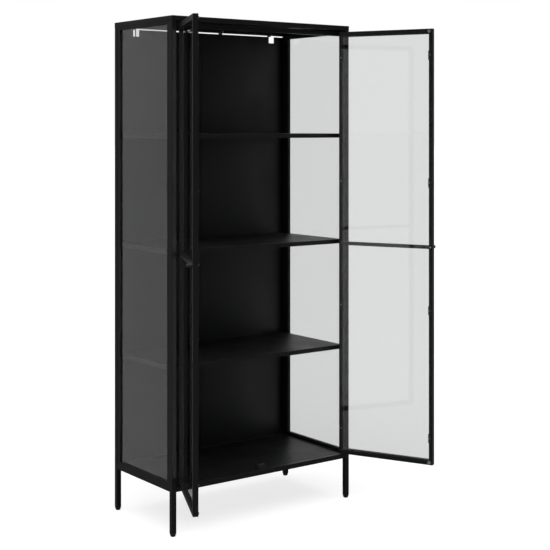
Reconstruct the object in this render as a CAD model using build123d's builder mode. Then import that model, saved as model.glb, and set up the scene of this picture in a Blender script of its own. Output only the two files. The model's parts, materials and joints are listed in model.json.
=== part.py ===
from build123d import *
from math import cos, radians, sin
import os

os.makedirs("parts", exist_ok=True)

# A tall two-door glass display cabinet in black steel. Millimetres, +Z up, front towards -Y.
# The origin is on the floor, under the centre of the cabinet's own footprint, doors left out.

# Overall size of the cabinet without its open doors
width = 794.0
depth = 400.0
height = 1800.0
leg_clear = 153.0  # floor to the underside of the bottom rails
door_open = 115.5  # how far both doors stand open, in degrees from shut

# Square steel tube of the carcass
tube = 18.0
wall = 1.2
tube_corner = 1.5
vent_radius = 4.0

# Plastic feet pushed into the posts
foot_height = 12.0
foot_tip = 12.5
foot_corner = 1.5
plug_length = 20.0
plug_clearance = 0.1

# Folded sheet trays: top panel, bottom panel and shelves
sheet = 1.0
fold_radius = 0.8
top_lip = 8.0
panel_lip = 14.0
panel_below = 0.5
bottom_gap = 2.5
shelf_lip = 16.0
shelf_count = 3
bottom_room = 412.0  # underside rails' top to the lowest shelf's top
shelf_pitch = 403.5
shelf_behind_door = 5.0  # shut door's inner face to a shelf's front lip
shelf_back_gap = 1.0
shelf_post_gap = 0.5

# Door-stop header under the front top rail
header_height = 18.0
header_depth = 12.0
header_gap = 2.5
header_access = 4.0
header_access_inset = 11.0

# Side frames: rebated tube rings that hold the side panes, with a bead inside the glass
pane = 4.0
side_setback = 2.0
side_recess = 1.5
side_stile_past_header = 1.5
side_rail = 12.0
side_rebate = 6.0
side_flange = 5.0
pane_play = 0.4
bead_play = 0.1
side_screw_inset = 9.0
shelf_screw_behind_lip = 4.0

# Back sheets, joined by an H strip down the middle
back_sheet = 0.8
back_edge = 6.0
back_foot = 13.0
back_slit = 4.0
back_tab = 17.0
tab_inner = 75.0
tab_from_edge = 79.0
tab_rise = 13.0
tab_screw_rise = 4.5
joint_web = 1.0
joint_cover = 25.0
window_height = 25.0
left_windows = ((-4.0, 5.0), (9.0, 22.0))  # cut-outs, from the middle of the outer tab
right_windows = ((-1.0, 24.0),)

# Doors: welded tube frame, one pane each, a bar across at handle height
door_gap = 1.5  # at the hinge side, and half of the gap where the doors meet
door_below = 5.0
door_above = 7.0
door_depth = tube  # flush with the posts inside and out
stile = 15.0
door_rail = 19.0
bar_height = 13.0
bar_to_pane = 0.7
bar_level = 973.5
rebate = 4.0
pane_slack = 0.3
clip_length = 34.0
clip_width = 9.0
clip_thickness = 1.2
clip_proud = 1.0
clip_from_end = 97.5
clips_per_stile = 4
clip_screw_inset = 2.0
clip_screw = 1.0
clip_head = 1.7
clip_head_height = 0.6

# Surface hinges, whose barrels are half sunk in the doors' hinge stiles
hinge_inset = 9.0  # door's hinge edge to the hinge axis
hinge_height = 17.0
leaf = 1.5
leaf_clearance = 0.2
post_leaf_margin = 1.5
door_leaf_height = 13.0
door_leaf_reach = 18.0
leaf_screw_inset = 3.5
barrel_radius = 2.4
barrel_clearance = 0.4
knuckle = 5.5
pin_radius = 1.25
pin_clearance = 0.05
pin_head_radius = 2.0
pin_head = 1.0

# Knobs, magnets and the stop on the bottom panel
knob_radius = 6.0
knob_length = 20.0
knob_edge = 0.6
knob_bore = 11.0
knob_screw_radius = 2.0
magnet_radius = 6.5
magnet_thickness = 3.2
magnet_gap = 0.3
magnet_from_edge = 12.0
magnet_from_end = 9.5
stop_width = 30.0
stop_depth = 14.0
stop_height = 14.5
stop_round = 1.5
stop_screw_x = 9.0

# Screws
small_screw = 1.4
small_head = 2.4
small_head_height = 0.8
panel_screw = 1.6
panel_head = 2.8
panel_head_height = 1.2
nut_across = 5.5
nut_height = 2.4
screw_past_wall = 5.0
screw_tip = 1.0  # past a thin wall

cut = 1.0  # how far a cut runs past the faces it opens

# Places that follow from the sizes above
half_w = width / 2
half_d = depth / 2
inner_x = half_w - tube
inner_y = half_d - tube
post_x = half_w - tube / 2
post_y = half_d - tube / 2
sill = leg_clear + tube
lintel = height - tube
side_x = inner_x + side_setback
side_face = half_w - side_recess
glass_x = side_face - side_flange - pane
shelf_tops = [sill + bottom_room + shelf_pitch * n for n in range(shelf_count)]
shelf_screw_z = [top - shelf_lip / 2 for top in shelf_tops]
header_setback = door_depth + magnet_thickness + magnet_gap
shelf_setback = door_depth + shelf_behind_door
stop_front = header_setback - half_d
shelf_front = shelf_setback - half_d
side_stile = header_setback + header_depth + side_stile_past_header - tube
bar_depth = door_depth - pane - pane_slack - bar_to_pane
side_screws_y = (shelf_front + shelf_screw_behind_lip, inner_y - side_screw_inset)
tab_outer = half_w - back_edge - tab_from_edge
door_bottom = sill + door_below
door_top = lintel - door_above
hinge_x = inner_x - door_gap - hinge_inset
door_reach = hinge_x - door_gap
hinge_levels = (door_bottom + door_rail / 2, bar_level, door_top - door_rail / 2)
clip_step = (door_top - door_bottom - 2 * clip_from_end) / (clips_per_stile - 1)
clip_levels = [door_bottom + clip_from_end + clip_step * n for n in range(clips_per_stile)]
through_wall = wall + 2 * cut
pilot = screw_past_wall + cut
hands = (("left", -1), ("right", 1))
FROM_END = (Align.CENTER, Align.CENTER, Align.MIN)


def save(piece, node):
    """Label a finished piece and write it to its own file."""
    piece.part.label = node
    export_step(piece.part, f"parts/{node}.step")


def inset(span, amount):
    """A span pulled in at both ends; a negative amount lets it out."""
    return (span[0] + amount, span[1] - amount)


def block(x, y, z, mode=Mode.ADD):
    """A box given by its three spans, in the current builder's frame."""
    with Locations((sum(x) / 2, sum(y) / 2, sum(z) / 2)):
        Box(abs(x[1] - x[0]), abs(y[1] - y[0]), abs(z[1] - z[0]), mode=mode)


def rod_x(x, y, z, radius, length, mode=Mode.ADD):
    """A cylinder along X from x; a negative length runs towards -X."""
    turn = 90 if length > 0 else -90
    with Locations((x, y, z)):
        Cylinder(radius, abs(length), rotation=(0, turn, 0), align=FROM_END, mode=mode)


def rod_y(x, y, z, radius, length, mode=Mode.ADD):
    """A cylinder along Y from y; a negative length runs towards -Y."""
    turn = -90 if length > 0 else 90
    with Locations((x, y, z)):
        Cylinder(radius, abs(length), rotation=(turn, 0, 0), align=FROM_END, mode=mode)


def rod_z(x, y, z, radius, length, mode=Mode.ADD):
    """A cylinder up Z from z."""
    with Locations((x, y, z)):
        Cylinder(radius, length, align=FROM_END, mode=mode)


def side_ring(x, outer_y, outer_z, inner_y_span, inner_z, mode=Mode.ADD):
    """A rectangular ring lying in a side of the cabinet, through the span x."""
    with BuildPart(mode=Mode.PRIVATE) as ring:
        block(x, outer_y, outer_z)
        block(x, inner_y_span, inner_z, Mode.SUBTRACT)
    add(ring.part, mode=mode)


def tube_along(plane, length, w=tube, h=tube, closed=False):
    """A rectangular tube along a plane's normal, with end walls if closed."""
    cap = wall if closed else 0
    with BuildPart() as piece:
        with BuildSketch(plane):
            RectangleRounded(w, h, tube_corner)
        extrude(amount=length)
        with BuildSketch(plane.offset(cap)):
            Rectangle(w - 2 * wall, h - 2 * wall)
        extrude(amount=length - 2 * cap, mode=Mode.SUBTRACT)
    return piece


def along_x(x, y, z):
    """Plane at the left end of a rail that runs along X."""
    return Plane(origin=(x, y, z), x_dir=(0, 1, 0), z_dir=(1, 0, 0))


def along_y(x, y, z):
    """Plane at the front end of a rail that runs along Y."""
    return Plane(origin=(x, y, z), x_dir=(1, 0, 0), z_dir=(0, 1, 0))


def tray(outline, top, lip):
    """A sheet folded down along its whole outline."""
    with BuildPart() as piece:
        with BuildSketch(Plane.XY.offset(top - lip)):
            with BuildLine():
                Polyline(*outline, close=True)
            make_face()
        extrude(amount=lip)
        fillet(faces().sort_by(Axis.Z)[-1].edges(), fold_radius)
        with BuildSketch(Plane.XY.offset(top - lip)):
            with BuildLine():
                Polyline(*outline, close=True)
            make_face()
            offset(amount=-sheet, kind=Kind.INTERSECTION)
        extrude(amount=lip - sheet, mode=Mode.SUBTRACT)
    return piece


def rectangle_outline(x, y):
    """Corner points of a rectangle given by its two spans."""
    return [(x[0], y[0]), (x[1], y[0]), (x[1], y[1]), (x[0], y[1])]


def hinge_plane(side, angle):
    """Door's frame of reference: x from the hinge axis to the free edge, z up, at a door angle."""
    turn = radians(angle)
    along = (-side * cos(turn), -sin(turn), 0)
    return Plane(origin=(side * hinge_x, -half_d, 0), x_dir=along, z_dir=(0, 0, 1))


def door_block(side, a, b, z, mode=Mode.ADD):
    """A box on a hinge plane: a along the door, b inwards from its front face."""
    block(a, (-side * b[0], -side * b[1]), z, mode)


def door_rod(side, a, b, z, radius, length, mode=Mode.ADD):
    """A cylinder on a hinge plane, from depth b inwards; a negative length runs outwards."""
    rod_y(a, -side * b, z, radius, -side * length, mode)


# ---- Posts and feet ----

leaf_span = (post_leaf_margin - hinge_inset - door_gap - tube, -barrel_radius - barrel_clearance)
post_screw_x = inner_x + (tube - post_leaf_margin) / 2
post_screw_rise = hinge_height / 4

for row, y in (("front", -post_y), ("back", post_y)):
    for name, side in hands:
        x = side * post_x
        post = tube_along(Plane(origin=(x, y, foot_height)), lintel - foot_height)
        with BuildPart() as drilled_post:
            add(post.part)
            if row == "front":
                for level in hinge_levels:
                    for rise in (-post_screw_rise, post_screw_rise):
                        hole_z = level + rise
                        hole_x = side * post_screw_x
                        rod_y(hole_x, -half_d - cut, hole_z, small_screw, through_wall, Mode.SUBTRACT)
            else:
                for level in shelf_screw_z:
                    rod_y(x, half_d + cut, level, panel_screw, -through_wall, Mode.SUBTRACT)
        save(drilled_post, f"{row}_{name}_post")

        with BuildPart() as foot:
            with BuildSketch(Plane.XY):
                with Locations((x, y)):
                    RectangleRounded(foot_tip, foot_tip, foot_corner)
            with BuildSketch(Plane.XY.offset(foot_height)):
                with Locations((x, y)):
                    RectangleRounded(tube, tube, foot_corner)
            loft()
            with BuildSketch(Plane.XY.offset(foot_height)):
                with Locations((x, y)):
                    plug = tube - 2 * (wall + plug_clearance)
                    Rectangle(plug, plug)
            extrude(amount=plug_length)
        save(foot, f"{row}_{name}_foot")

# ---- Rails ----

tab_places = (-tab_outer, -tab_inner, tab_inner, tab_outer)
tab_screw_z = lintel + tab_screw_rise
foot_screw_z = sill - back_foot / 2

for name, side in hands:
    upper = tube_along(along_y(side * post_x, -half_d, height - tube / 2), depth, closed=True)
    with BuildPart() as top_rail:
        add(upper.part)
        for y in (-post_y, post_y):
            rod_z(side * post_x, y, lintel - cut, vent_radius, through_wall, Mode.SUBTRACT)
    save(top_rail, f"{name}_top_rail")
    save(tube_along(along_y(side * post_x, -inner_y, sill - tube / 2), 2 * inner_y), f"{name}_bottom_rail")

save(tube_along(along_x(-inner_x, -post_y, height - tube / 2), 2 * inner_x), "front_top_rail")
save(tube_along(along_x(-inner_x, -post_y, sill - tube / 2), 2 * inner_x), "front_bottom_rail")

upper = tube_along(along_x(-inner_x, post_y, height - tube / 2), 2 * inner_x)
with BuildPart() as back_top_rail:
    add(upper.part)
    for x in tab_places:
        rod_y(x, inner_y - cut, tab_screw_z, panel_screw, tube + 2 * cut, Mode.SUBTRACT)
save(back_top_rail, "back_top_rail")

lower = tube_along(along_x(-inner_x, post_y, sill - tube / 2), 2 * inner_x)
with BuildPart() as back_bottom_rail:
    add(lower.part)
    for x in tab_places:
        rod_y(x, half_d + cut, foot_screw_z, panel_screw, -through_wall, Mode.SUBTRACT)
save(back_bottom_rail, "back_bottom_rail")

# ---- Header that the doors shut against ----

header_y = stop_front + header_depth / 2
header_z = lintel - header_gap - header_height / 2
header_end = along_x(-side_x, header_y, header_z)
header = tube_along(header_end, 2 * side_x, header_depth, header_height, closed=True)
with BuildPart() as header_stop:
    add(header.part)
    for side in (-1, 1):
        rod_x(side * (side_x + cut), header_y, header_z, panel_screw, -side * through_wall, Mode.SUBTRACT)
        access_x = side * (side_x - header_access_inset)
        underside = header_z - header_height / 2
        rod_z(access_x, header_y, underside - cut, header_access, through_wall, Mode.SUBTRACT)
save(header_stop, "header_stop")

with BuildPart() as header_screws:
    for side in (-1, 1):
        rod_x(side * (side_x - wall), header_y, header_z, panel_head, -side * panel_head_height)
        rod_x(side * (side_x - wall), header_y, header_z, panel_screw, side * (wall + screw_past_wall))
save(header_screws, "header_screws")

# ---- Panels and shelves ----

panel_x = (-inner_x, inner_x)
save(tray(rectangle_outline(panel_x, (-inner_y, inner_y)), height - panel_below, top_lip), "top_panel")

panel_top = sill - panel_below
stop_y = stop_front + stop_depth / 2
folded = tray(rectangle_outline(panel_x, (bottom_gap - inner_y, inner_y)), panel_top, panel_lip)
with BuildPart() as bottom_panel:
    add(folded.part)
    for x in (-stop_screw_x, stop_screw_x):
        rod_z(x, stop_y, panel_top - sheet - cut, panel_screw, sheet + 2 * cut, Mode.SUBTRACT)
save(bottom_panel, "bottom_panel")

shelf_rear = half_d - shelf_back_gap
notch_x = inner_x - shelf_post_gap
notch_y = inner_y - shelf_post_gap
shelf_outline = [(-side_x, shelf_front), (side_x, shelf_front), (side_x, notch_y), (notch_x, notch_y)]
shelf_outline += [(notch_x, shelf_rear), (-notch_x, shelf_rear), (-notch_x, notch_y), (-side_x, notch_y)]
for node, top, level in zip(("lower_shelf", "middle_shelf", "upper_shelf"), shelf_tops, shelf_screw_z):
    folded = tray(shelf_outline, top, shelf_lip)
    with BuildPart() as shelf:
        add(folded.part)
        for side in (-1, 1):
            for y in side_screws_y:
                rod_x(side * (side_x + cut), y, level, panel_screw, -side * (sheet + 2 * cut), Mode.SUBTRACT)
    save(shelf, node)

with BuildPart() as shelf_screws:
    for side in (-1, 1):
        for y in side_screws_y:
            for level in shelf_screw_z:
                rod_x(side * (side_x - sheet), y, level, panel_head, -side * panel_head_height)
                rod_x(side * (side_x - sheet), y, level, panel_screw, side * (sheet + screw_past_wall))
save(shelf_screws, "shelf_screws")

# ---- Back: two sheets on the rear of the frame, the strip that joins them, and their screws ----

back_y = (half_d, half_d + back_sheet)
back_z = (sill - back_foot, lintel - back_slit)
window_z = (back_z[1] - window_height, back_z[1] + cut)

for name, side, windows in (("left", -1, left_windows), ("right", 1, right_windows)):
    with BuildPart() as back_panel:
        block((side * joint_web / 2, side * (half_w - back_edge)), back_y, back_z)
        for window in windows:
            window_x = (side * tab_outer + window[0], side * tab_outer + window[1])
            block(window_x, (back_y[0] - cut, back_y[1] + cut), window_z, Mode.SUBTRACT)
        for x in (side * tab_inner, side * tab_outer):
            block((x - back_tab / 2, x + back_tab / 2), back_y, (back_z[1], lintel + tab_rise))
            rod_y(x, back_y[0] - cut, tab_screw_z, panel_screw, back_sheet + 2 * cut, Mode.SUBTRACT)
            rod_y(x, back_y[0] - cut, foot_screw_z, panel_screw, back_sheet + 2 * cut, Mode.SUBTRACT)
        for level in shelf_screw_z:
            rod_y(side * post_x, back_y[0] - cut, level, panel_screw, back_sheet + 2 * cut, Mode.SUBTRACT)
    save(back_panel, f"back_panel_{name}")

with BuildPart() as joint_strip:
    cover_x = (-joint_cover / 2, joint_cover / 2)
    strip_z = (sill, back_z[1])
    block(cover_x, (back_y[0] - back_sheet, back_y[0]), strip_z)
    block((-joint_web / 2, joint_web / 2), back_y, strip_z)
    block(cover_x, (back_y[1], back_y[1] + back_sheet), strip_z)
save(joint_strip, "back_joint_strip")

with BuildPart() as back_screws:
    for x in tab_places:
        rod_y(x, inner_y, tab_screw_z, panel_head, -panel_head_height)
        rod_y(x, inner_y, tab_screw_z, panel_screw, tube + back_sheet + nut_height)
        with BuildSketch(Plane(origin=(x, back_y[1], tab_screw_z), x_dir=(1, 0, 0), z_dir=(0, 1, 0))):
            RegularPolygon(nut_across / 2, 6, major_radius=False)
        extrude(amount=nut_height)
        rod_y(x, back_y[1], foot_screw_z, panel_head, panel_head_height)
        rod_y(x, back_y[1], foot_screw_z, panel_screw, -back_sheet - screw_past_wall)
    for x in (-post_x, post_x):
        for level in shelf_screw_z:
            rod_y(x, back_y[1], level, panel_head, panel_head_height)
            rod_y(x, back_y[1], level, panel_screw, -back_sheet - screw_past_wall)
save(back_screws, "back_panel_screws")

# ---- Side frames, panes and beads ----

side_y = (-inner_y, inner_y)
side_z = (sill, lintel)
seat_y = inset(side_y, side_stile - side_rebate)
seat_z = inset(side_z, side_rail - side_rebate)
sight_y = inset(side_y, side_stile)
sight_z = inset(side_z, side_rail)

for name, side in hands:
    whole_x = (side * side_x, side * side_face)
    hollow_x = (side * (side_x + wall), side * (side_face - wall))
    face_x = (side * (glass_x + pane), side * side_face)
    pane_x = (side * glass_x, side * (glass_x + pane))
    bead_x = (side * side_x, side * glass_x)

    with BuildPart() as side_frame:
        side_ring(whole_x, side_y, side_z, seat_y, seat_z)
        side_ring(face_x, seat_y, seat_z, sight_y, sight_z)
        hollow_outer = (inset(side_y, wall), inset(side_z, wall))
        side_ring(hollow_x, *hollow_outer, inset(seat_y, -wall), inset(seat_z, -wall), mode=Mode.SUBTRACT)
        for y in side_screws_y:
            for level in shelf_screw_z:
                rod_x(side * (side_x - cut), y, level, panel_screw, side * pilot, Mode.SUBTRACT)
        rod_x(side * (side_x - cut), header_y, header_z, panel_screw, side * pilot, Mode.SUBTRACT)
    save(side_frame, f"{name}_side_frame")

    with BuildPart() as side_glass:
        block(pane_x, inset(seat_y, pane_play), inset(seat_z, pane_play))
    save(side_glass, f"{name}_side_glass")

    with BuildPart() as bead:
        side_ring(bead_x, inset(seat_y, bead_play), inset(seat_z, bead_play), sight_y, sight_z)
    save(bead, f"{name}_glazing_bead")

# ---- Stop for the doors on the bottom panel ----

stop_top = panel_top + stop_height
with BuildPart() as door_stop:
    block((-stop_width / 2, stop_width / 2), (stop_front, stop_front + stop_depth), (panel_top, stop_top))
    fillet(faces().sort_by(Axis.Z)[-1].edges(), stop_round)
    for x in (-stop_screw_x, stop_screw_x):
        rod_z(x, stop_y, panel_top - cut, panel_screw, stop_height + 2 * cut, Mode.SUBTRACT)
        rod_z(x, stop_y, stop_top - panel_head_height, panel_head, panel_head_height + cut, Mode.SUBTRACT)
save(door_stop, "bottom_door_stop")

with BuildPart() as stop_screws:
    for x in (-stop_screw_x, stop_screw_x):
        rod_z(x, stop_y, stop_top - panel_head_height, panel_head, panel_head_height)
        shank = stop_height - panel_head_height + sheet + screw_tip
        rod_z(x, stop_y, panel_top - sheet - screw_tip, panel_screw, shank)
save(stop_screws, "door_stop_screws")

# ---- Doors, modelled standing open ----

door_a = (-hinge_inset, door_reach)
door_z = (door_bottom, door_top)
open_a = inset(door_a, stile)
open_z = inset(door_z, door_rail)
rebate_b = door_depth - pane - pane_slack
bar_z = (bar_level - bar_height / 2, bar_level + bar_height / 2)
knob_a = door_reach - stile / 2
clip_a = ((open_a[0] + clip_proud - clip_width, open_a[0] + clip_proud),)
clip_a += ((open_a[1] - clip_proud, open_a[1] - clip_proud + clip_width),)
clip_screw_a = (clip_a[0][0] + clip_screw_inset, clip_a[1][1] - clip_screw_inset)
leaf_screw_a = (-leaf_span[1] + leaf_screw_inset, door_leaf_reach - leaf_screw_inset)
magnet_places = [(door_reach - magnet_from_edge, z) for z in inset(door_z, magnet_from_end)]


def hollow_door(side, b, clear):
    """Empty a door's stiles and rails over the depth b, keeping a clear distance off the opening."""
    low, high = inset(door_z, wall)
    for hollow_a in ((door_a[0] + wall, open_a[0] - clear), (open_a[1] + clear, door_a[1] - wall)):
        door_block(side, hollow_a, b, (low, high), Mode.SUBTRACT)
    for hollow_z in ((low, open_z[0] - clear), (open_z[1] + clear, high)):
        door_block(side, inset(door_a, wall), b, hollow_z, Mode.SUBTRACT)


for name, side in hands:
    opened = hinge_plane(side, door_open)
    shut = hinge_plane(side, 0)

    with BuildPart(opened) as door_frame:
        door_block(side, door_a, (0, door_depth), door_z)
        door_block(side, open_a, (-cut, door_depth + cut), open_z, Mode.SUBTRACT)
        seat_b = (rebate_b, door_depth + cut)
        door_block(side, inset(open_a, -rebate), seat_b, inset(open_z, -rebate), Mode.SUBTRACT)
        door_block(side, open_a, (0, bar_depth), bar_z)
        hollow_door(side, (wall, rebate_b - wall), wall)
        hollow_door(side, (rebate_b - wall, door_depth - wall), rebate + wall)
        bar_b = (wall, bar_depth - wall)
        door_block(side, inset(open_a, -2 * wall), bar_b, inset(bar_z, wall), Mode.SUBTRACT)
        for level in hinge_levels:
            notch = hinge_height + 2 * (pin_head + barrel_clearance)
            rod_z(0, 0, level - notch / 2, barrel_radius + barrel_clearance, notch, Mode.SUBTRACT)
            for a in leaf_screw_a:
                door_rod(side, a, -cut, level, small_screw, through_wall, Mode.SUBTRACT)
        door_rod(side, knob_a, -cut, bar_level, knob_screw_radius, door_depth + 2 * cut, Mode.SUBTRACT)
        for level in clip_levels:
            for a in clip_screw_a:
                door_rod(side, a, door_depth + cut, level, clip_screw, -through_wall, Mode.SUBTRACT)
    save(door_frame, f"{name}_door_frame")

    with BuildPart(opened) as door_glass:
        pane_b = (rebate_b, rebate_b + pane)
        play = pane_play - rebate
        door_block(side, inset(open_a, play), pane_b, inset(open_z, play))
    save(door_glass, f"{name}_door_glass")

    with BuildPart(opened) as clips:
        for level in clip_levels:
            for span, a in zip(clip_a, clip_screw_a):
                clip_b = (door_depth, door_depth + clip_thickness)
                door_block(side, span, clip_b, (level - clip_length / 2, level + clip_length / 2))
                hole_b = door_depth - cut
                door_rod(side, a, hole_b, level, clip_screw, clip_thickness + 2 * cut, Mode.SUBTRACT)
    save(clips, f"{name}_glass_clips")

    with BuildPart(opened) as clip_screws:
        for level in clip_levels:
            for a in clip_screw_a:
                door_rod(side, a, door_depth + clip_thickness, level, clip_head, clip_head_height)
                shank = clip_thickness + wall + screw_tip
                door_rod(side, a, door_depth + clip_thickness, level, clip_screw, -shank)
    save(clip_screws, f"{name}_clip_screws")

    with BuildPart(opened) as knob:
        door_rod(side, knob_a, 0, bar_level, knob_radius, -knob_length)
        fillet(edges().filter_by(GeomType.CIRCLE), knob_edge)
        door_rod(side, knob_a, cut, bar_level, knob_screw_radius, -knob_bore - cut, Mode.SUBTRACT)
    save(knob, f"{name}_knob")

    with BuildPart(opened) as knob_screw:
        door_rod(side, knob_a, door_depth, bar_level, panel_head, panel_head_height)
        door_rod(side, knob_a, door_depth, bar_level, knob_screw_radius, screw_tip - door_depth - knob_bore)
    save(knob_screw, f"{name}_knob_screw")

    with BuildPart(opened) as magnets:
        for a, level in magnet_places:
            door_rod(side, a, door_depth, level, magnet_radius, magnet_thickness)
    save(magnets, f"{name}_door_magnets")

    # Hinges: the post's leaves carry the outer knuckles and the pins, the door's leaves the middle ones
    arm_b = (-leaf - leaf_clearance, -leaf_clearance)
    pad_a = (leaf_span[0], -hinge_inset - door_gap)
    post_screw_a = hinge_x - post_screw_x
    with BuildPart(shut) as post_leaves:
        for level in hinge_levels:
            leaf_z = (level - hinge_height / 2, level + hinge_height / 2)
            door_block(side, leaf_span, arm_b, leaf_z)
            door_block(side, pad_a, (-leaf_clearance, 0), leaf_z)
            for low in (leaf_z[0], leaf_z[1] - knuckle):
                door_block(side, (leaf_span[1], 0), arm_b, (low, low + knuckle))
                rod_z(0, 0, low, barrel_radius, knuckle)
                rod_z(0, 0, low - cut, pin_radius, knuckle + 2 * cut, Mode.SUBTRACT)
            for rise in (-post_screw_rise, post_screw_rise):
                hole_z = level + rise
                hole_b = arm_b[0] - cut
                door_rod(side, post_screw_a, hole_b, hole_z, small_screw, leaf + 2 * cut, Mode.SUBTRACT)
    save(post_leaves, f"{name}_hinge_post_leaves")

    with BuildPart(opened) as door_leaves:
        for level in hinge_levels:
            half = hinge_height / 2 - knuckle - leaf_clearance
            leaf_z = (level - door_leaf_height / 2, level + door_leaf_height / 2)
            door_block(side, (-leaf_span[1], door_leaf_reach), (-leaf, 0), leaf_z)
            door_block(side, (0, -leaf_span[1]), (-leaf, 0), (level - half, level + half))
            rod_z(0, 0, level - half, barrel_radius, 2 * half)
            rod_z(0, 0, level - half - cut, pin_radius + pin_clearance, 2 * half + 2 * cut, Mode.SUBTRACT)
            for a in leaf_screw_a:
                door_rod(side, a, -leaf - cut, level, small_screw, leaf + 2 * cut, Mode.SUBTRACT)
    save(door_leaves, f"{name}_hinge_door_leaves")

    with BuildPart(shut) as pins:
        for level in hinge_levels:
            low = level - hinge_height / 2
            rod_z(0, 0, low - pin_head, pin_head_radius, pin_head)
            rod_z(0, 0, low, pin_radius, hinge_height)
            rod_z(0, 0, low + hinge_height, pin_head_radius, pin_head)
    save(pins, f"{name}_hinge_pins")

    with BuildPart(shut) as post_leaf_screws:
        for level in hinge_levels:
            for rise in (-post_screw_rise, post_screw_rise):
                door_rod(side, post_screw_a, arm_b[0], level + rise, small_head, -small_head_height)
                shank = leaf + leaf_clearance + wall + screw_tip
                door_rod(side, post_screw_a, arm_b[0], level + rise, small_screw, shank)
    save(post_leaf_screws, f"{name}_post_leaf_screws")

    with BuildPart(opened) as door_leaf_screws:
        for level in hinge_levels:
            for a in leaf_screw_a:
                door_rod(side, a, -leaf, level, small_head, -small_head_height)
                door_rod(side, a, -leaf, level, small_screw, leaf + wall + screw_tip)
    save(door_leaf_screws, f"{name}_door_leaf_screws")
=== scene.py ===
import json
from math import radians

import bpy
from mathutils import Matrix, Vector

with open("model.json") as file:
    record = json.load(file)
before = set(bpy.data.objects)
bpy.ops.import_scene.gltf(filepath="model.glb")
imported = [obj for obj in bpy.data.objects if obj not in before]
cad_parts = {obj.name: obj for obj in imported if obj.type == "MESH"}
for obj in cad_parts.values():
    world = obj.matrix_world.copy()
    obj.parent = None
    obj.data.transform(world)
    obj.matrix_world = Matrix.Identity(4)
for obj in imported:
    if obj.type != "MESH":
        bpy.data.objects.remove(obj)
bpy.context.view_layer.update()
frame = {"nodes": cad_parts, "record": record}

nodes = frame["nodes"]

# ---- Camera at the photograph's view ----

SENSOR = 36.0  # mm
LENS = 82.525  # mm
LENS_SHIFT = -0.26673  # of the picture's width, which keeps the camera level
CAMERA_PLACE = (-2.7043, -3.8962, 1.4097)
CAMERA_TURN = -36.64  # degrees from facing +Y, towards +X
FAR = 100.0

camera_data = bpy.data.cameras.new("camera")
camera_data.sensor_width = SENSOR
camera_data.lens = LENS
camera_data.shift_y = LENS_SHIFT
camera_data.clip_end = FAR
camera = bpy.data.objects.new("camera", camera_data)
camera.location = CAMERA_PLACE
camera.rotation_euler = (radians(90), 0, radians(CAMERA_TURN))
bpy.context.scene.collection.objects.link(camera)
bpy.context.scene.camera = camera


# ---- Materials ----

def either_ray(tree, first, second):
    """1 for rays of either kind, by the Light Path node's names."""
    path = tree.nodes.new("ShaderNodeLightPath")
    either = tree.nodes.new("ShaderNodeMath")
    either.operation = "MAXIMUM"
    tree.links.new(path.outputs[first], either.inputs[0])
    tree.links.new(path.outputs[second], either.inputs[1])
    return either.outputs[0]


class Nodes:
    """A material's node tree, with short calls for the nodes used below."""

    def __init__(self, name):
        self.material = bpy.data.materials.new(name)
        self.material.use_nodes = True
        self.tree = self.material.node_tree
        self.tree.nodes.clear()
        self.output = self.tree.nodes.new("ShaderNodeOutputMaterial")

    def add(self, kind, **settings):
        node = self.tree.nodes.new(kind)
        for key, value in settings.items():
            setattr(node, key, value)
        return node

    def link(self, source, target):
        self.tree.links.new(source, target)

    def shader(self, **values):
        node = self.add("ShaderNodeBsdfPrincipled")
        for key, value in values.items():
            node.inputs[key.replace("_", " ")].default_value = value
        return node

    def position(self, stretch=(1, 1, 1)):
        """Coordinates in metres on the piece, stretched along some axes."""
        source = self.add("ShaderNodeTexCoord").outputs["Object"]
        mapping = self.add("ShaderNodeMapping")
        mapping.inputs["Scale"].default_value = stretch
        self.link(source, mapping.inputs["Vector"])
        return mapping.outputs[0]

    def noise(self, scale, detail=2.0, stretch=(1, 1, 1)):
        node = self.add("ShaderNodeTexNoise")
        node.inputs["Scale"].default_value = scale
        node.inputs["Detail"].default_value = detail
        self.link(self.position(stretch), node.inputs["Vector"])
        return node.outputs["Fac"]

    def spread(self, factor, low, high, start=0.3, end=0.7):
        """A factor's middle range mapped to low..high."""
        node = self.add("ShaderNodeMapRange")
        for key, value in (("From Min", start), ("From Max", end), ("To Min", low), ("To Max", high)):
            node.inputs[key].default_value = value
        self.link(factor, node.inputs["Value"])
        return node.outputs[0]

    def blend(self, factor, first, second):
        """A colour between two, by a factor."""
        node = self.add("ShaderNodeMix", data_type="RGBA")
        for socket, colour in ((6, first), (7, second)):
            node.inputs[socket].default_value = (*colour, 1)
        self.link(factor, node.inputs[0])
        return node.outputs[2]

    def bump(self, height, distance, strength=1.0, below=None):
        node = self.add("ShaderNodeBump")
        node.inputs["Distance"].default_value = distance
        node.inputs["Strength"].default_value = strength
        self.link(height, node.inputs["Height"])
        if below:
            self.link(below, node.inputs["Normal"])
        return node.outputs[0]

    def edges(self, radius):
        """1 on a piece's edges and 0 on its flats, from how a bevelled normal turns."""
        bevel = self.add("ShaderNodeBevel", samples=6)
        bevel.inputs["Radius"].default_value = radius
        geometry = self.add("ShaderNodeNewGeometry")
        turn = self.add("ShaderNodeVectorMath", operation="DOT_PRODUCT")
        self.link(bevel.outputs[0], turn.inputs[0])
        self.link(geometry.outputs["Normal"], turn.inputs[1])
        return self.spread(turn.outputs["Value"], 1.0, 0.0, 0.75, 0.98)

    def finish(self, shader):
        self.link(shader.outputs[0], self.output.inputs[0])
        return self.material


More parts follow.
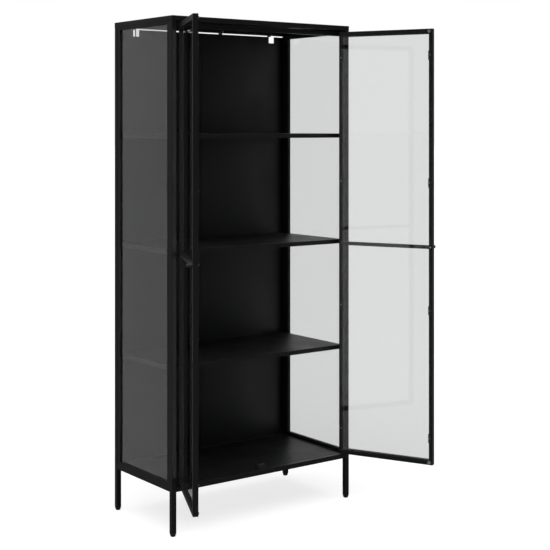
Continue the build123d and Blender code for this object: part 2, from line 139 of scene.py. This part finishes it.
def powder_coat(name, dark, light, rough, grain, grain_height):
    """Black powder coat: fine orange peel, patches of slightly different gloss, edges painted paler
    as a painted highlight with slight wear.
    """
    m = Nodes(name)
    shader = m.shader(IOR=1.5, Specular_IOR_Level=0.34)
    patches = m.noise(7.0, 3.0)
    speckle = m.noise(grain * 1.7, 1.0)
    colour = m.add("ShaderNodeMix", data_type="RGBA")
    # Paler edges from the bevel mask: a painted edge highlight, with slight wear.
    m.link(m.edges(0.0008), colour.inputs[0])
    m.link(m.blend(m.spread(speckle, 0.0, 1.0), dark, light), colour.inputs[6])
    # The edge colour, 1.8 times the light tone, is the painted edge highlight.
    colour.inputs[7].default_value = tuple(1.8 * c for c in light) + (1,)
    m.link(colour.outputs[2], shader.inputs["Base Color"])
    m.link(m.spread(patches, rough - 0.05, rough + 0.06), shader.inputs["Roughness"])
    peel = m.bump(m.noise(grain, 2.0), grain_height)
    m.link(m.bump(m.noise(grain / 5, 1.0), grain_height * 2, 0.5, peel), shader.inputs["Normal"])
    return m.finish(shader)


def moulded_plastic():
    """Black moulded plastic with a fine spark-eroded texture and dusty patches."""
    m = Nodes("moulded_plastic")
    shader = m.shader(IOR=1.46)
    m.link(m.blend(m.spread(m.noise(60.0, 3.0), 0, 1), (0.012, 0.012, 0.012), (0.026, 0.026, 0.027)),
           shader.inputs["Base Color"])
    m.link(m.spread(m.noise(25.0), 0.48, 0.64), shader.inputs["Roughness"])
    m.link(m.bump(m.noise(2600.0, 2.0), 0.00006), shader.inputs["Normal"])
    return m.finish(shader)


def rubber():
    """Black extruded rubber, faintly streaked along its length."""
    m = Nodes("rubber")
    shader = m.shader(IOR=1.5)
    m.link(m.blend(m.spread(m.noise(90.0, 3.0), 0, 1), (0.008, 0.008, 0.008), (0.018, 0.018, 0.018)),
           shader.inputs["Base Color"])
    m.link(m.spread(m.noise(40.0), 0.62, 0.82), shader.inputs["Roughness"])
    m.link(m.bump(m.noise(900.0, 2.0, (1, 1, 0.1)), 0.00005), shader.inputs["Normal"])
    return m.finish(shader)


def plated_metal(name, dark, light, rough):
    """Bright plating with fine brushing and dull blotches."""
    m = Nodes(name)
    shader = m.shader(Metallic=1.0)
    m.link(m.blend(m.spread(m.noise(120.0, 4.0), 0, 1), dark, light), shader.inputs["Base Color"])
    m.link(m.spread(m.noise(400.0, 3.0), rough, rough + 0.18), shader.inputs["Roughness"])
    m.link(m.bump(m.noise(1800.0, 2.0, (1, 1, 6)), 0.00003), shader.inputs["Normal"])
    return m.finish(shader)


def clear_glass(name, tint, shadow_tint):
    """Clear float glass that bends light for the eye and lets the lamps through."""
    m = Nodes(name)
    glass = m.shader(IOR=1.5, Transmission_Weight=1.0)
    glass.inputs["Base Color"].default_value = (*tint, 1)
    m.link(m.spread(m.noise(14.0, 4.0), 0.0, 0.035, 0.45, 0.85), glass.inputs["Roughness"])
    through = m.add("ShaderNodeBsdfTransparent")
    through.inputs["Color"].default_value = (*shadow_tint, 1)
    mix = m.add("ShaderNodeMixShader")
    m.link(either_ray(m.tree, "Is Shadow Ray", "Is Diffuse Ray"), mix.inputs[0])
    m.link(glass.outputs[0], mix.inputs[1])
    m.link(through.outputs[0], mix.inputs[2])
    return m.finish(mix)


FRAME_BLACK = ((0.006, 0.006, 0.0065), (0.010, 0.010, 0.0105))
# The sheet's black is darker than the frame's: partly painted shade of the cabinet's inside.
SHEET_BLACK_WITH_INSIDE_SHADE = ((0.004, 0.004, 0.0044), (0.007, 0.007, 0.0074))
HARDWARE_BLACK = ((0.008, 0.008, 0.009), (0.016, 0.016, 0.017))
ZINC = ((0.50, 0.51, 0.53), (0.72, 0.73, 0.74))
NICKEL = ((0.60, 0.59, 0.57), (0.78, 0.77, 0.75))
GLASS_TINT = (0.73, 0.735, 0.735)
GLASS_SHADOW = (0.71, 0.72, 0.72)

finishes = {
    "black_frame": powder_coat("black_frame_coat", *FRAME_BLACK, 0.36, 900.0, 0.00005),
    "black_sheet": powder_coat("black_sheet_coat", *SHEET_BLACK_WITH_INSIDE_SHADE, 0.46, 1100.0, 0.00005),
    "black_hardware": powder_coat("black_hardware_coat", *HARDWARE_BLACK, 0.34, 1500.0, 0.00003),
    "clear_glass": clear_glass("float_glass", GLASS_TINT, GLASS_SHADOW),
    "black_plastic": moulded_plastic(),
    "glazing_rubber": rubber(),
    "bright_zinc": plated_metal("zinc_plate", *ZINC, 0.22),
    "bright_nickel": plated_metal("nickel_plate", *NICKEL, 0.12),
}

for subpart in frame["record"]["subparts"]:
    data = nodes[subpart["node"]].data
    data.materials.clear()
    data.materials.append(finishes[subpart["material_slot"]])


# ---- Floor, backdrop and light ----

FLOOR_SIZE = 600.0
FLOOR_SEEN, FLOOR_BOUNCED = 0.40, 0.22  # how pale it is to the eye, and to bounced light
GLOW_THROUGH_GLASS, GLOW_DIRECT = 0.62, 0.78  # through glass it matches the backdrop


def floor(size):
    """A plain pale floor. It looks evenly lit, and throws back less light than it shows."""
    half = size / 2
    mesh = bpy.data.meshes.new("floor")
    corners = [(-half, -half, 0), (half, -half, 0), (half, half, 0), (-half, half, 0)]
    mesh.from_pydata(corners, [], [(0, 1, 2, 3)])
    plane = bpy.data.objects.new("floor", mesh)
    bpy.context.scene.collection.objects.link(plane)
    m = Nodes("floor_paint")
    pale = m.add("ShaderNodeBsdfDiffuse")
    pale.inputs["Color"].default_value = (FLOOR_SEEN, FLOOR_SEEN, FLOOR_SEEN, 1)
    glow = m.add("ShaderNodeEmission")
    seen = m.add("ShaderNodeAddShader")
    m.link(pale.outputs[0], seen.inputs[0])
    m.link(glow.outputs[0], seen.inputs[1])
    path = m.add("ShaderNodeLightPath")
    direct = path.outputs["Is Camera Ray"]
    m.link(m.spread(direct, GLOW_THROUGH_GLASS, GLOW_DIRECT, 0.0, 1.0), glow.inputs["Strength"])
    bounced = m.add("ShaderNodeBsdfDiffuse")
    bounced.inputs["Color"].default_value = (FLOOR_BOUNCED, FLOOR_BOUNCED, FLOOR_BOUNCED, 1)
    mix = m.add("ShaderNodeMixShader")
    m.link(either_ray(m.tree, "Is Camera Ray", "Is Transmission Ray"), mix.inputs[0])
    m.link(bounced.outputs[0], mix.inputs[1])
    m.link(seen.outputs[0], mix.inputs[2])
    mesh.materials.append(m.finish(mix))


def area_light(name, location, target, size, power):
    """A soft lamp that neither gloss nor glass shows."""
    data = bpy.data.lights.new(name, "AREA")
    data.shape = "RECTANGLE"
    data.size, data.size_y = size
    data.energy = power
    lamp = bpy.data.objects.new(name, data)
    lamp.location = location
    lamp.rotation_euler = (Vector(target) - Vector(location)).to_track_quat("-Z", "Y").to_euler()
    lamp.visible_glossy = False
    lamp.visible_transmission = False
    bpy.context.scene.collection.objects.link(lamp)


floor(FLOOR_SIZE)

# A bright backdrop behind the cabinet and a darker studio in front of it. Straight through the
# air or through glass the backdrop is plain white.
DARK_STUDIO, BRIGHT_BACKDROP = 0.08, 0.28
world = bpy.data.worlds.new("studio")
world.use_nodes = True
tree = world.node_tree
background = tree.nodes["Background"]
background.inputs["Color"].default_value = (1, 1, 1, 1)
direction = tree.nodes.new("ShaderNodeTexCoord")
split = tree.nodes.new("ShaderNodeSeparateXYZ")
tree.links.new(direction.outputs["Generated"], split.inputs[0])
level = tree.nodes.new("ShaderNodeMapRange")
FRONT_EDGE, BACK_EDGE = -0.3, 0.8  # where the change between them begins and ends, along Y
level_range = {
    "From Min": FRONT_EDGE,
    "From Max": BACK_EDGE,
    "To Min": DARK_STUDIO,
    "To Max": BRIGHT_BACKDROP,
}
for key, value in level_range.items():
    level.inputs[key].default_value = value
tree.links.new(split.outputs["Y"], level.inputs["Value"])
strength = tree.nodes.new("ShaderNodeMix")
tree.links.new(either_ray(tree, "Is Camera Ray", "Is Transmission Ray"), strength.inputs[0])
tree.links.new(level.outputs[0], strength.inputs[2])
strength.inputs[3].default_value = 1.0
tree.links.new(strength.outputs[0], background.inputs["Strength"])
bpy.context.scene.world = world
bpy.context.scene.view_settings.view_transform = "Standard"

overhead = bpy.data.lights.new("overhead", "SUN")
overhead.energy = 2.5
overhead.angle = radians(70)
overhead_lamp = bpy.data.objects.new("overhead", overhead)
overhead_lamp.rotation_euler = (radians(14), radians(-12), 0)
bpy.context.scene.collection.objects.link(overhead_lamp)

LAMP_TARGET = (0, 0, 1.0)
LAMP_SIZE = (1.6, 2.6)
area_light("key", (-3.4, -2.2, 2.6), LAMP_TARGET, LAMP_SIZE, 11)
area_light("fill", (2.6, -3.2, 2.0), LAMP_TARGET, LAMP_SIZE, 5)
